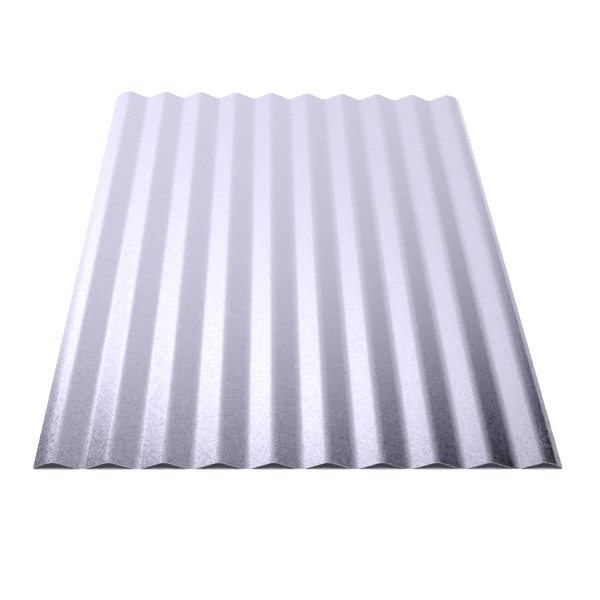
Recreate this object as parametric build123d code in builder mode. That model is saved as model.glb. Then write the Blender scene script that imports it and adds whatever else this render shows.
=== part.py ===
from build123d import *
import os
from math import asin, atan2, cos, hypot, radians, sin, tan

# Corrugated steel roofing sheet: one strip of zinc-coated steel, roll-formed lengthwise into round waves.
# The frame is X across the waves, Y along them and Z up. The origin is the middle of the sheet's footprint,
# at the height of the valley bottoms, which the sheet lies on.

# Driving dimensions, in millimetres and degrees
sheet_length = 914.4  # 36 in, between the two cut ends
wave_pitch = 67.733  # 2-2/3 in from crest to crest
crest_count = 10
wave_depth = 12.7  # 1/2 in, from the underside of a valley to the top of a crest
steel_thickness = 0.4  # 29 gauge, zinc coat included
crest_radius = 14.5  # bend of a crest, to the middle of the steel
valley_radius = 18.0  # bend of a valley, to the middle of the steel
left_overhang = 25.4  # 1 in, from the first crest line to the left side edge
right_overhang = 24.1  # from the last crest line to the right side edge
left_shoulder_width = 12.5  # from the first crest line to the end of its outer, gentler slope
right_shoulder_width = 9.5  # the same past the last crest line
shoulder_relief = 8.5  # degrees by which this shoulder is flatter than a flank
shoulder_radius = 25.0  # bend between shoulder and flank, to the middle of the steel
left_lip_width = 7.9  # strip along the left side edge that is bent down further, measured across the sheet
right_lip_width = 8.8
lip_radius = 12.0  # bend where a lip starts, to the middle of the steel
left_lip_height = 2.8  # middle of the lip's slit edge above the plane of the valley bottoms
right_lip_height = 2.0

# Flank angle of the straight metal between two bends: the slope of the line that is tangent to a crest arc
# and to its neighbour valley arc on opposite sides
half_pitch = wave_pitch / 2
middle_rise = wave_depth - steel_thickness
radius_sum = crest_radius + valley_radius
centre_drop = radius_sum - middle_rise
centre_distance = hypot(half_pitch, centre_drop)
flank_angle = asin(radius_sum / centre_distance) - atan2(centre_drop, half_pitch)

# Corners of the zigzag that the bends round off: each lies past its arc by the arc's corner height
corner_factor = 1 / cos(flank_angle) - 1
crest_corner_z = wave_depth - steel_thickness / 2 + crest_radius * corner_factor
valley_corner_z = steel_thickness / 2 - valley_radius * corner_factor

# The first and the last crest turn from a flank into a shoulder, so their corner stands a little inwards
shoulder_angle = flank_angle - radians(shoulder_relief)
end_crest_lean = (flank_angle - shoulder_angle) / 2
end_corner_reach = crest_radius / cos((flank_angle + shoulder_angle) / 2)
end_corner_inset = end_corner_reach * sin(end_crest_lean)
end_corner_z = wave_depth - steel_thickness / 2 - crest_radius + end_corner_reach * cos(end_crest_lean)

# Places across the sheet, from its middle
crest_span = (crest_count - 1) * wave_pitch
sheet_width = left_overhang + crest_span + right_overhang
first_crest_x = left_overhang - sheet_width / 2
last_crest_x = first_crest_x + crest_span


def side_corners(overhang, shoulder_width, lip_width, lip_height):
    """Corners past an end crest, as distances out from its crest line with their heights: the end of the
    shoulder, the start of the lip, and a point as far past the side edge as the lip is wide."""
    shoulder_z = end_corner_z - (shoulder_width + end_corner_inset) * tan(shoulder_angle)
    lip_start = overhang - lip_width
    lip_start_z = shoulder_z - (lip_start - shoulder_width) * tan(flank_angle)
    past_edge_z = lip_start_z - 2 * (lip_start_z - lip_height)
    return [(shoulder_width, shoulder_z), (lip_start, lip_start_z), (overhang + lip_width, past_edge_z)]


# The zigzag runs from past the left side edge, where the formed strip is slit, to past the right one
corners = []
for out, corner_z in reversed(side_corners(left_overhang, left_shoulder_width, left_lip_width, left_lip_height)):
    corners.append((first_crest_x - out, corner_z))
bend_radii = [lip_radius, shoulder_radius]
corners.append((first_crest_x + end_corner_inset, end_corner_z))
bend_radii.append(crest_radius)
for wave in range(1, crest_count):
    crest_x = first_crest_x + wave * wave_pitch
    corners.append((crest_x - half_pitch, valley_corner_z))
    bend_radii.append(valley_radius)
    is_last = wave == crest_count - 1
    corners.append((crest_x - end_corner_inset, end_corner_z) if is_last else (crest_x, crest_corner_z))
    bend_radii.append(crest_radius)
for out, corner_z in side_corners(right_overhang, right_shoulder_width, right_lip_width, right_lip_height):
    corners.append((last_crest_x + out, corner_z))
bend_radii += [shoulder_radius, lip_radius]

# The sheet: the wave line thickened to the steel's gauge, slit at both side edges and cut to length
with BuildPart() as corrugated_sheet:
    with BuildSketch(Plane.XZ.offset(-sheet_length / 2)) as section:
        with BuildLine() as wave_line:
            FilletPolyline(*corners, radius=bend_radii)
            offset(amount=steel_thickness / 2)
        make_face()
        Rectangle(sheet_width, 4 * wave_depth, mode=Mode.INTERSECT)
    extrude(amount=sheet_length)
corrugated_sheet.part.label = "corrugated_sheet"

os.makedirs("parts", exist_ok=True)
export_step(corrugated_sheet.part, "parts/corrugated_sheet.step")
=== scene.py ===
import bmesh
import bpy
from math import asin, atan2, ceil, cos, hypot, pi, radians, sin, tan
from mathutils import Matrix, Vector


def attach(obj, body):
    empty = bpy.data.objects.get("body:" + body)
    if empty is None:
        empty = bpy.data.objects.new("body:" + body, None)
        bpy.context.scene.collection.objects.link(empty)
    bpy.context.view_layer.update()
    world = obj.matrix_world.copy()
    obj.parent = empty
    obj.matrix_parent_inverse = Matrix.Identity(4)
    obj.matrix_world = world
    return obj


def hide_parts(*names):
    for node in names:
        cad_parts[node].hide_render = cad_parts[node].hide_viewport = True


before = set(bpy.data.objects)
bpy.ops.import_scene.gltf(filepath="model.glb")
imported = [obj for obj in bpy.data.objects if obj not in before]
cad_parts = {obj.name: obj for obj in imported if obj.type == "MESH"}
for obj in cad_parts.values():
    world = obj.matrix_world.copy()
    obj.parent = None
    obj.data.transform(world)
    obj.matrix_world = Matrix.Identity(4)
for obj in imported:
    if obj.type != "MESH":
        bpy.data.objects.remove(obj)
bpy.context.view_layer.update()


# Corrugated sheet: one strip of 29 gauge zinc-coated steel, roll-formed lengthwise into ten round waves with
# straight flanks between the bends. It is sheared square at both ends and slit along both sides, where the
# last rolls leave a gentler shoulder and then a lip that turns down further. It lies loose on its valleys
SHEET_LENGTH = 0.9144
STEEL_THICKNESS = 0.0004
WAVE_PITCH = 0.067733
WAVE_COUNT = 10
WAVE_DEPTH = 0.0127
CREST_RADIUS = 0.0145  # this and the other radii are to the middle of the steel
VALLEY_RADIUS = 0.014
LEFT_OVERHANG = 0.0254  # from the first crest line to the left side edge
RIGHT_OVERHANG = 0.0241
LEFT_SHOULDER = 0.0125  # from the first crest line to the end of its outer, gentler slope
RIGHT_SHOULDER = 0.0095
SHOULDER_RELIEF = radians(8.5)
SHOULDER_RADIUS = 0.025
LEFT_LIP = 0.0079
RIGHT_LIP = 0.0088
LIP_RADIUS = 0.012
LEFT_LIP_HEIGHT = 0.0028
RIGHT_LIP_HEIGHT = 0.002
BEND_STEP = radians(4)
FLANK_STEPS = 3
LENGTH_STEPS = 96
LEVEL_RISE = 0.7  # the normals of the upper face rise at least this far, and those of the underside fall so
SHARP_EDGE = radians(50)
SHEARED_SLOT = 1  # finish of the sheared ends and the slit sides
UNDERSIDE_SLOT = 2

# The flank angle is that of the line tangent to a crest bend and its neighbour valley bend
half_pitch = WAVE_PITCH / 2
radius_sum = CREST_RADIUS + VALLEY_RADIUS
centre_drop = radius_sum - (WAVE_DEPTH - STEEL_THICKNESS)
flank_angle = asin(radius_sum / hypot(half_pitch, centre_drop)) - atan2(centre_drop, half_pitch)
corner_factor = 1 / cos(flank_angle) - 1
crest_corner_z = WAVE_DEPTH - STEEL_THICKNESS / 2 + CREST_RADIUS * corner_factor
valley_corner_z = STEEL_THICKNESS / 2 - VALLEY_RADIUS * corner_factor

# The end crests turn into a shoulder on their outer side, so their corner stands a little inwards
shoulder_angle = flank_angle - SHOULDER_RELIEF
end_corner_reach = CREST_RADIUS / cos((flank_angle + shoulder_angle) / 2)
end_corner_inset = end_corner_reach * sin(SHOULDER_RELIEF / 2)
end_corner_z = WAVE_DEPTH - STEEL_THICKNESS / 2 - CREST_RADIUS + end_corner_reach * cos(SHOULDER_RELIEF / 2)
crest_span = (WAVE_COUNT - 1) * WAVE_PITCH
sheet_width = LEFT_OVERHANG + crest_span + RIGHT_OVERHANG
first_crest_x = LEFT_OVERHANG - sheet_width / 2
last_crest_x = first_crest_x + crest_span


def side_corners(overhang, shoulder, lip, lip_height):
    """Corners past an end crest, as distances out from its crest line with their heights."""
    shoulder_z = end_corner_z - (shoulder + end_corner_inset) * tan(shoulder_angle)
    lip_z = shoulder_z - (overhang - lip - shoulder) * tan(flank_angle)
    return [(shoulder, shoulder_z), (overhang - lip, lip_z), (overhang, lip_height)]


# Corners of the wave line, which the bends round off, from the left side edge to the right one
corners = [Vector((first_crest_x - out, z))
           for out, z in reversed(side_corners(LEFT_OVERHANG, LEFT_SHOULDER, LEFT_LIP, LEFT_LIP_HEIGHT))]
corners.append(Vector((first_crest_x + end_corner_inset, end_corner_z)))
radii = [LIP_RADIUS, SHOULDER_RADIUS, CREST_RADIUS]
for wave in range(1, WAVE_COUNT):
    crest_x = first_crest_x + wave * WAVE_PITCH
    corners.append(Vector((crest_x - half_pitch, valley_corner_z)))
    corners.append(Vector((crest_x, crest_corner_z)))
    radii += [VALLEY_RADIUS, CREST_RADIUS]
corners[-1] = Vector((last_crest_x - end_corner_inset, end_corner_z))
corners += [Vector((last_crest_x + out, z))
            for out, z in side_corners(RIGHT_OVERHANG, RIGHT_SHOULDER, RIGHT_LIP, RIGHT_LIP_HEIGHT)]
radii += [SHOULDER_RADIUS, LIP_RADIUS]


def flank(mesh, tip, end):
    """Carries the wave line on from its tip to the end of a straight flank, and returns the new tip."""
    step = (Vector((end.x, tip.co.y, end.y)) - tip.co) / FLANK_STEPS
    for _ in range(FLANK_STEPS):
        tip = bmesh.ops.extrude_vert_indiv(mesh, verts=[tip])["verts"][0]
        bmesh.ops.translate(mesh, verts=[tip], vec=step)
    return tip


metal = bmesh.new()
front_y = -SHEET_LENGTH / 2
tip = bmesh.ops.create_vert(metal, co=(corners[0].x, front_y, corners[0].y))["vert"][0]
for before, corner, after, radius in zip(corners, corners[1:], corners[2:], radii):
    way_in = (corner - before).normalized()
    turn = way_in.angle_signed(after - corner)  # positive over a crest, negative through a valley
    start = corner - way_in * radius * tan(abs(turn) / 2)
    centre = start + Vector((way_in.y, -way_in.x)) * radius * (1 if turn > 0 else -1)
    tip = flank(metal, tip, start)
    bent = bmesh.ops.spin(metal, geom=[tip], cent=(centre.x, front_y, centre.y), axis=(0, 1, 0), angle=turn,
                          steps=ceil(abs(turn) / BEND_STEP))
    tip = bent["geom_last"][0]
tip = flank(metal, tip, corners[-1])

# The wave line is drawn out along the sheet, and the long strips are cut into short lengths
drawn = bmesh.ops.extrude_edge_only(metal, edges=metal.edges[:])["geom"]
far_verts = [item for item in drawn if isinstance(item, bmesh.types.BMVert)]
bmesh.ops.translate(metal, verts=far_verts, vec=(0, SHEET_LENGTH, 0))
long_edges = [edge for edge in metal.edges if abs(edge.verts[0].co.y - edge.verts[1].co.y) > SHEET_LENGTH / 2]
bmesh.ops.subdivide_edges(metal, edges=long_edges, cuts=LENGTH_STEPS - 1, use_grid_fill=True)

# Thickness, half of it on each side of the wave line
bmesh.ops.recalc_face_normals(metal, faces=metal.faces)
if metal.faces[0].normal.z < 0:
    bmesh.ops.reverse_faces(metal, faces=metal.faces)
metal.normal_update()
for vert in metal.verts:
    vert.co -= vert.normal * STEEL_THICKNESS / 2
bmesh.ops.solidify(metal, geom=metal.faces[:], thickness=-STEEL_THICKNESS)
bmesh.ops.recalc_face_normals(metal, faces=metal.faces)
metal.normal_update()
for face in metal.faces:
    face.smooth = True
    if face.normal.z < -LEVEL_RISE:
        face.material_index = UNDERSIDE_SLOT
    elif face.normal.z < LEVEL_RISE:
        face.material_index = SHEARED_SLOT
for edge in metal.edges:
    edge.smooth = edge.calc_face_angle(0) < SHARP_EDGE

sheet_data = bpy.data.meshes.new("zinc_coated_sheet")
metal.to_mesh(sheet_data)
metal.free()
sheet = bpy.data.objects.new("zinc_coated_sheet", sheet_data)
bpy.context.scene.collection.objects.link(sheet)
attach(sheet, "root")
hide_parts("corrugated_sheet")


def linear(hex_colour):
    """sRGB hex colour as the linear values that shaders take."""
    values = [int(hex_colour[i:i + 2], 16) / 255 for i in (1, 3, 5)]
    return [v / 12.92 if v <= 0.04045 else ((v + 0.055) / 1.055) ** 2.4 for v in values] + [1]


def add_node(tree, kind, inputs=(), **settings):
    """Adds a node: inputs maps a socket to a value or to the output that feeds it."""
    node = tree.nodes.new("ShaderNode" + kind)
    for name, value in settings.items():
        setattr(node, name, value)
    for socket, value in dict(inputs).items():
        if isinstance(value, bpy.types.NodeSocket):
            tree.links.new(value, node.inputs[socket])
        else:
            node.inputs[socket].default_value = value
    return node


# Hot-dip zinc on steel: the molten zinc freezes into a spangle of crystals about 3 mm across. Each faces its
# own way and is frosted by a finer grain, drawn as coarse as it needs to show, so the bright metal glitters
# wherever the light on it changes. The forming rolls have burnished the right lip
ZINC_DULL = "#DCDAF0"
ZINC_BRIGHT = "#EAE7FE"
CRYSTAL_SIZE = 0.003
CRYSTAL_TILT = 0.02
CRYSTAL_POWER = 1
GRAIN_SIZE = 0.0015
GRAIN_TILT = 0.32
GRAIN_POWER = 3  # with the cube of a grain's lean most grains lie nearly level and a few lean far
MEAN_COLOUR = (0.5, 0.5, 0.5)  # of the two patterns, where a crystal or a grain has no lean
FROST_ROUGHNESS = (0.19, 0.27)
BURNISH_STARTS = 0.3195  # places across the sheet, at the bend of the right lip
BURNISH_FULL = 0.3215
BURNISHED_LEAN = 0.25  # share of every lean that is left on the lip
zinc = bpy.data.materials.new("hot_dip_zinc_spangled")
zinc.use_nodes = True
tree = zinc.node_tree
tree.nodes.clear()
place = add_node(tree, "TexCoord").outputs["Object"]
crystals = add_node(tree, "TexVoronoi", {"Vector": place, "Scale": 1 / CRYSTAL_SIZE}).outputs["Color"]
grains = add_node(tree, "TexVoronoi", {"Vector": place, "Scale": 1 / GRAIN_SIZE}).outputs["Color"]
facing = add_node(tree, "NewGeometry").outputs["Normal"]
across = add_node(tree, "SeparateXYZ", {0: place}).outputs["X"]
leaning = add_node(tree, "MapRange", {"Value": across, "From Min": BURNISH_STARTS, "From Max": BURNISH_FULL,
                                      "To Min": 1, "To Max": BURNISHED_LEAN}).outputs[0]
for pattern, tilt, power in ((crystals, CRYSTAL_TILT, CRYSTAL_POWER), (grains, GRAIN_TILT, GRAIN_POWER)):
    lean = add_node(tree, "VectorMath", {0: pattern, 1: MEAN_COLOUR}, operation="SUBTRACT").outputs[0]
    steep = add_node(tree, "VectorMath", {0: lean, "Scale": leaning}, operation="SCALE").outputs[0]
    for _ in range(power - 1):
        steep = add_node(tree, "VectorMath", {0: steep, 1: lean}, operation="MULTIPLY").outputs[0]
    facing = add_node(tree, "VectorMath", {0: steep, 1: (tilt, tilt, tilt), 2: facing},
                      operation="MULTIPLY_ADD").outputs[0]
facing = add_node(tree, "VectorMath", {0: facing}, operation="NORMALIZE").outputs[0]
brightness = add_node(tree, "SeparateColor", {0: grains}).outputs[0]
sheen = add_node(tree, "MixRGB", {0: brightness, 1: linear(ZINC_DULL), 2: linear(ZINC_BRIGHT)}).outputs[0]
frosting = add_node(tree, "SeparateColor", {0: crystals}).outputs[1]
frost = add_node(tree, "MapRange", {"Value": frosting, "To Min": FROST_ROUGHNESS[0],
                                    "To Max": FROST_ROUGHNESS[1]}).outputs[0]

# Handling scratches in this zinc: a few short bright strokes that slant across the last crest near the front
# right corner, within a patch longer than wide, and grow fainter away from its middle
SCRATCH_BRIGHT = "#F8F2FF"
SCRATCH_ROUGHNESS = 0.5  # comes on top of the frost
SCRATCH_LENGTH = 0.008
SCRATCH_WIDTH = 0.0018
SCRATCH_SLANT = radians(60)
SCRATCH_STARTS = 0.6  # height in the noise where a stroke begins to show
SCRATCH_FULL = 0.64
PATCH_MIDDLE = (0.311, -0.417, 0)
PATCH_REACH = 0.034
PATCH_SQUEEZE = 3
off_middle = add_node(tree, "VectorMath", {0: place, 1: PATCH_MIDDLE}, operation="SUBTRACT").outputs[0]
slanted = add_node(tree, "VectorRotate", {"Vector": off_middle, "Angle": SCRATCH_SLANT}).outputs[0]
drawn_out = add_node(tree, "VectorMath", {0: slanted, 1: (1 / SCRATCH_LENGTH, 1 / SCRATCH_WIDTH, 0)},
                     operation="MULTIPLY").outputs[0]
streaks = add_node(tree, "TexNoise", {"Vector": drawn_out, "Scale": 1, "Detail": 0}).outputs["Fac"]
strokes = add_node(tree, "MapRange", {"Value": streaks, "From Min": SCRATCH_STARTS,
                                      "From Max": SCRATCH_FULL}).outputs[0]
squeezed = add_node(tree, "VectorMath", {0: off_middle, 1: (PATCH_SQUEEZE, 1, 0)},
                    operation="MULTIPLY").outputs[0]
distance = add_node(tree, "VectorMath", {0: squeezed}, operation="LENGTH").outputs["Value"]
in_patch = add_node(tree, "MapRange", {"Value": distance, "From Min": PATCH_REACH, "From Max": 0}).outputs[0]
scratched = add_node(tree, "Math", {0: strokes, 1: in_patch}, operation="MULTIPLY").outputs[0]
sheen = add_node(tree, "MixRGB", {0: scratched, 1: sheen, 2: linear(SCRATCH_BRIGHT)}).outputs[0]
frost = add_node(tree, "Math", {0: scratched, 1: SCRATCH_ROUGHNESS, 2: frost},
                 operation="MULTIPLY_ADD").outputs[0]
shader = add_node(tree, "BsdfPrincipled", {"Base Color": sheen, "Metallic": 1, "Roughness": frost,
                                           "Normal": facing})
add_node(tree, "OutputMaterial", {"Surface": shader.outputs[0]})
sheet_data.materials.append(zinc)

# Sheared steel at the ends and the slit sides: bare and a little rough from the blade, and paler where the
# blade has dragged zinc over it
SHEARED_STEEL = "#E8D2D6"
DRAGGED_ZINC = "#FFF4F8"
DRAG_SIZE = 0.004
SHEARED_ROUGHNESS = 0.35
sheared = bpy.data.materials.new("sheared_bare_steel")
sheared.use_nodes = True
tree = sheared.node_tree
tree.nodes.clear()
place = add_node(tree, "TexCoord").outputs["Object"]
drag = add_node(tree, "TexNoise", {"Vector": place, "Scale": 1 / DRAG_SIZE}).outputs["Fac"]
bare = add_node(tree, "MixRGB", {0: drag, 1: linear(SHEARED_STEEL), 2: linear(DRAGGED_ZINC)}).outputs[0]
shader = add_node(tree, "BsdfPrincipled", {"Base Color": bare, "Metallic": 1, "Roughness": SHEARED_ROUGHNESS})
add_node(tree, "OutputMaterial", {"Surface": shader.outputs[0]})
sheet_data.materials.append(sheared)

# Underside: the same hot-dip zinc, rougher, and coloured dark as painted shade, so that the sheet and the
# floor come out shaded under the waves. The painted shade is mottled at random, and where it is paler the
# zinc is also rougher
PAINTED_SHADE_DARK = "#5C4C58"
PAINTED_SHADE_PALE = "#70667A"
SHADE_MOTTLE_SIZE = 0.03
SHADE_MOTTLE_DETAIL = 5
UNDERSIDE_ROUGHNESS_RANGE = (0.45, 0.6)
painted_shade_underside = bpy.data.materials.new("hot_dip_zinc_underside_painted_shade")
painted_shade_underside.use_nodes = True
tree = painted_shade_underside.node_tree
tree.nodes.clear()
place = add_node(tree, "TexCoord").outputs["Object"]
shade_mottle = add_node(tree, "TexNoise", {"Vector": place, "Scale": 1 / SHADE_MOTTLE_SIZE,
                                    "Detail": SHADE_MOTTLE_DETAIL}).outputs["Fac"]
# Painted shade: the underside's dark colour, mottled at random, stands in for the shade under the sheet
painted_shade_colour = add_node(tree, "MixRGB", {0: shade_mottle, 1: linear(PAINTED_SHADE_DARK), 2: linear(PAINTED_SHADE_PALE)}).outputs[0]
underside_roughness = add_node(tree, "MapRange", {"Value": shade_mottle, "To Min": UNDERSIDE_ROUGHNESS_RANGE[0],
                                   "To Max": UNDERSIDE_ROUGHNESS_RANGE[1]}).outputs[0]
shader = add_node(tree, "BsdfPrincipled", {"Base Color": painted_shade_colour, "Metallic": 1, "Roughness": underside_roughness})
add_node(tree, "OutputMaterial", {"Surface": shader.outputs[0]})
sheet_data.materials.append(painted_shade_underside)


# Studio floor: matt white paper, far larger than the view. To the camera and in the metal its colour is
# brighter than white, so that it comes out plain white around the sheet
FLOOR_SIZE = 14
PAPER_WHITE = "#FAFAFB"
FLOOR_OVERLIT = 1.25
floor_mesh = bmesh.new()
bmesh.ops.create_grid(floor_mesh, x_segments=1, y_segments=1, size=FLOOR_SIZE / 2)
floor_data = bpy.data.meshes.new("floor")
floor_mesh.to_mesh(floor_data)
floor_mesh.free()
floor = bpy.data.objects.new("floor", floor_data)
bpy.context.scene.collection.objects.link(floor)
paper = bpy.data.materials.new("white_paper")
paper.use_nodes = True
tree = paper.node_tree
tree.nodes.clear()
rays = add_node(tree, "LightPath")
seen = add_node(tree, "Math", {0: rays.outputs["Is Camera Ray"], 1: rays.outputs["Is Glossy Ray"]},
                operation="MAXIMUM").outputs[0]
seen = add_node(tree, "Math", {0: seen, 1: rays.outputs["Is Transmission Ray"]},
                operation="MAXIMUM").outputs[0]
whiteness = add_node(tree, "MixRGB", {0: seen, 1: linear(PAPER_WHITE), 2: [FLOOR_OVERLIT] * 3 + [1]})
matt = add_node(tree, "BsdfDiffuse", {"Color": whiteness.outputs[0]})
add_node(tree, "OutputMaterial", {"Surface": matt.outputs[0]})
floor_data.materials.append(paper)


# Overhead lamp: a broad soft light from straight above, which whitens the floor and leaves it dark under the
# waves. The metal doesn't mirror it
OVERHEAD_SPREAD = radians(26)
OVERHEAD_STRENGTH = 2.3
overhead = bpy.data.lights.new("overhead", "SUN")
overhead.angle = OVERHEAD_SPREAD
overhead.energy = OVERHEAD_STRENGTH
overhead_lamp = bpy.data.objects.new("overhead", overhead)
overhead_lamp.visible_glossy = False
bpy.context.scene.collection.objects.link(overhead_lamp)


# Light tent: a white dome over the sheet. Its back is lit through the cloth, brightest at the left, where a
# soft box stands further out. Its top is dim and its near side is lit softly, more at the left; the camera
# looks in through the cloth
TENT_RADIUS = 1.8
TENT_SEGMENTS = 48
TENT_RINGS = 24
TENT_DIM = "#EDE4FF"  # unlit cloth is a little violet
TENT_LIT = "#FDFFFF"
TINT_GONE = 0.6  # glow at which the violet is gone
tent_mesh = bmesh.new()
bmesh.ops.create_uvsphere(tent_mesh, u_segments=TENT_SEGMENTS, v_segments=TENT_RINGS, radius=TENT_RADIUS)
bmesh.ops.bisect_plane(tent_mesh, geom=tent_mesh.verts[:] + tent_mesh.edges[:] + tent_mesh.faces[:],
                       plane_co=(0, 0, 0), plane_no=(0, 0, 1), clear_inner=True)
tent_data = bpy.data.meshes.new("light_tent")
tent_mesh.to_mesh(tent_data)
tent_mesh.free()
tent = bpy.data.objects.new("light_tent", tent_data)
tent.visible_camera = False
tent.visible_shadow = False
bpy.context.scene.collection.objects.link(tent)
cloth = bpy.data.materials.new("lit_tent_cloth")
cloth.use_nodes = True
tree = cloth.node_tree
tree.nodes.clear()

# How far the way from the sheet's middle to the cloth leads right, back and up, as parts of its length
place = add_node(tree, "TexCoord").outputs["Object"]
way = add_node(tree, "VectorMath", {0: place}, operation="NORMALIZE").outputs[0]
parts_of_way = add_node(tree, "SeparateXYZ", {0: way})
rightward = parts_of_way.outputs["X"]
backward = parts_of_way.outputs["Y"]
upward = parts_of_way.outputs["Z"]

# The top: it glows where the way leads up this far, and less to the right
TOP_UPWARD = (0.731, 1.057)
TOP_RIGHTWARD = (-0.115, 0.201)
TOP_GLOW = (0.508, 0.183)
high = add_node(tree, "MapRange", {"Value": upward, "From Min": TOP_UPWARD[0], "From Max": TOP_UPWARD[1]},
                interpolation_type="SMOOTHSTEP").outputs[0]
ceiling = add_node(tree, "MapRange", {"Value": rightward, "From Min": TOP_RIGHTWARD[0],
                                      "From Max": TOP_RIGHTWARD[1], "To Min": TOP_GLOW[0],
                                      "To Max": TOP_GLOW[1]}, interpolation_type="SMOOTHSTEP").outputs[0]
glow = add_node(tree, "Math", {0: high, 1: ceiling}, operation="MULTIPLY").outputs[0]

# The back: three panels, each with its left, right, bottom and top edge, how far these fade, and its glow. An
# edge is a slope from the sheet, so many metres aside or up for each metre back
WHOLE_BACK = ((-2.0, 1.346, -1, 1.686), (1.6, 1.082, 0.1, 1.185), 0.725)
LEFT_BACK = ((-2.0, 0.309, -1, 1.686), (1.6, 1.174, 0.1, 1.185), 0.203)
SOFT_BOX = ((-1.702, -0.592, 0.618, 1.553), (0.112, 0.544, 1.334, 0.492), 0.972)
LEAST_BACKWARD = 0.02  # the panels end where the way leads back less than this


def soft_panel(tree, rightward, backward, upward, sides, blurs, strength):
    """A soft-edged panel of light on the back of the tent, as the output that holds its glow."""
    depth = add_node(tree, "Math", {0: backward, 1: LEAST_BACKWARD}, operation="MAXIMUM").outputs[0]
    panel = add_node(tree, "Math", {0: backward, 1: LEAST_BACKWARD}, operation="GREATER_THAN").outputs[0]
    for part, edges in ((rightward, (0, 1)), (upward, (2, 3))):
        slope = add_node(tree, "Math", {0: part, 1: depth}, operation="DIVIDE").outputs[0]
        for edge in edges:
            far_side = edge % 2
            cover = add_node(tree, "MapRange", {"Value": slope, "From Min": sides[edge] - blurs[edge],
                                                "From Max": sides[edge] + blurs[edge], "To Min": far_side,
                                                "To Max": 1 - far_side}, interpolation_type="SMOOTHSTEP")
            panel = add_node(tree, "Math", {0: panel, 1: cover.outputs[0]}, operation="MULTIPLY").outputs[0]
    return add_node(tree, "Math", {0: panel, 1: strength}, operation="MULTIPLY").outputs[0]


for sides, blurs, strength in (WHOLE_BACK, LEFT_BACK, SOFT_BOX):
    panel = soft_panel(tree, rightward, backward, upward, sides, blurs, strength)
    glow = add_node(tree, "Math", {0: glow, 1: panel}, operation="ADD").outputs[0]

# The near side: it fades out towards the back and the floor, and glows less to the right. Things that don't
# mirror it get only a share of its light, so that the floor under the waves stays dark
NEAR_BACKWARD = (-0.3, 0.2)
NEAR_UPWARD = (0.05, 0.4)
NEAR_RIGHTWARD = (-0.6, 0.6)
NEAR_GLOW = (0.85, 0.4)
UNMIRRORED_SHARE = 0.25
near_side = add_node(tree, "MapRange", {"Value": backward, "From Min": NEAR_BACKWARD[0],
                                        "From Max": NEAR_BACKWARD[1], "To Min": 1, "To Max": 0},
                     interpolation_type="SMOOTHSTEP")
raised = add_node(tree, "MapRange", {"Value": upward, "From Min": NEAR_UPWARD[0],
                                     "From Max": NEAR_UPWARD[1]}, interpolation_type="SMOOTHSTEP")
share = add_node(tree, "MapRange", {"Value": rightward, "From Min": NEAR_RIGHTWARD[0],
                                    "From Max": NEAR_RIGHTWARD[1], "To Min": NEAR_GLOW[0],
                                    "To Max": NEAR_GLOW[1]})
mirrored = add_node(tree, "LightPath").outputs["Is Glossy Ray"]
near_glow = add_node(tree, "MapRange", {"Value": mirrored, "To Min": UNMIRRORED_SHARE}).outputs[0]
for factor in (near_side, raised, share):
    near_glow = add_node(tree, "Math", {0: near_glow, 1: factor.outputs[0]}, operation="MULTIPLY").outputs[0]
glow = add_node(tree, "Math", {0: glow, 1: near_glow}, operation="ADD").outputs[0]
lit = add_node(tree, "MapRange", {"Value": glow, "From Max": TINT_GONE}).outputs[0]
tint = add_node(tree, "MixRGB", {0: lit, 1: linear(TENT_DIM), 2: linear(TENT_LIT)}).outputs[0]
emission = add_node(tree, "Emission", {"Color": tint, "Strength": glow})
add_node(tree, "OutputMaterial", {"Surface": emission.outputs[0]})
tent_data.materials.append(cloth)


# Backdrop: plain white to the camera, and to everything else a dim even light, about a third as bright, that
# keeps the floor outside the tent pale
BACKDROP_LIGHT = 0.35
world = bpy.data.worlds.new("backdrop")
bpy.context.scene.world = world
world.use_nodes = True
tree = world.node_tree
tree.nodes.clear()
looked_at = add_node(tree, "LightPath").outputs["Is Camera Ray"]
level = add_node(tree, "MapRange", {"Value": looked_at, "To Min": BACKDROP_LIGHT})
backdrop = add_node(tree, "Background", {"Color": linear("#FFFFFF"), "Strength": level.outputs[0]})
add_node(tree, "OutputWorld", {"Surface": backdrop.outputs[0]})


# Camera: where the photograph was taken from, in front of the sheet and well above it. Its place, its turns
# and its lens were worked out from the ends of the crests
CAMERA_PLACE = (-0.04692, -1.26645, 0.98029)
CAMERA_PITCH = 0.71362  # this and the other turns are in radians
CAMERA_YAW = 0.04784
CAMERA_ROLL = 0.03681
LENS_MM = 60.454
SENSOR_MM = 36
NEAREST_SEEN = 0.01
camera_data = bpy.data.cameras.new("camera")
camera_data.lens = LENS_MM
camera_data.sensor_width = SENSOR_MM
camera_data.clip_start = NEAREST_SEEN
camera = bpy.data.objects.new("camera", camera_data)
aim = Matrix.Rotation(-CAMERA_YAW, 4, "Z") @ Matrix.Rotation(pi / 2 - CAMERA_PITCH, 4, "X")
aim = aim @ Matrix.Rotation(CAMERA_ROLL, 4, "Z")
camera.matrix_world = Matrix.Translation(CAMERA_PLACE) @ aim
bpy.context.scene.collection.objects.link(camera)
bpy.context.scene.camera = camera

bpy.context.scene.view_settings.view_transform = "Standard"
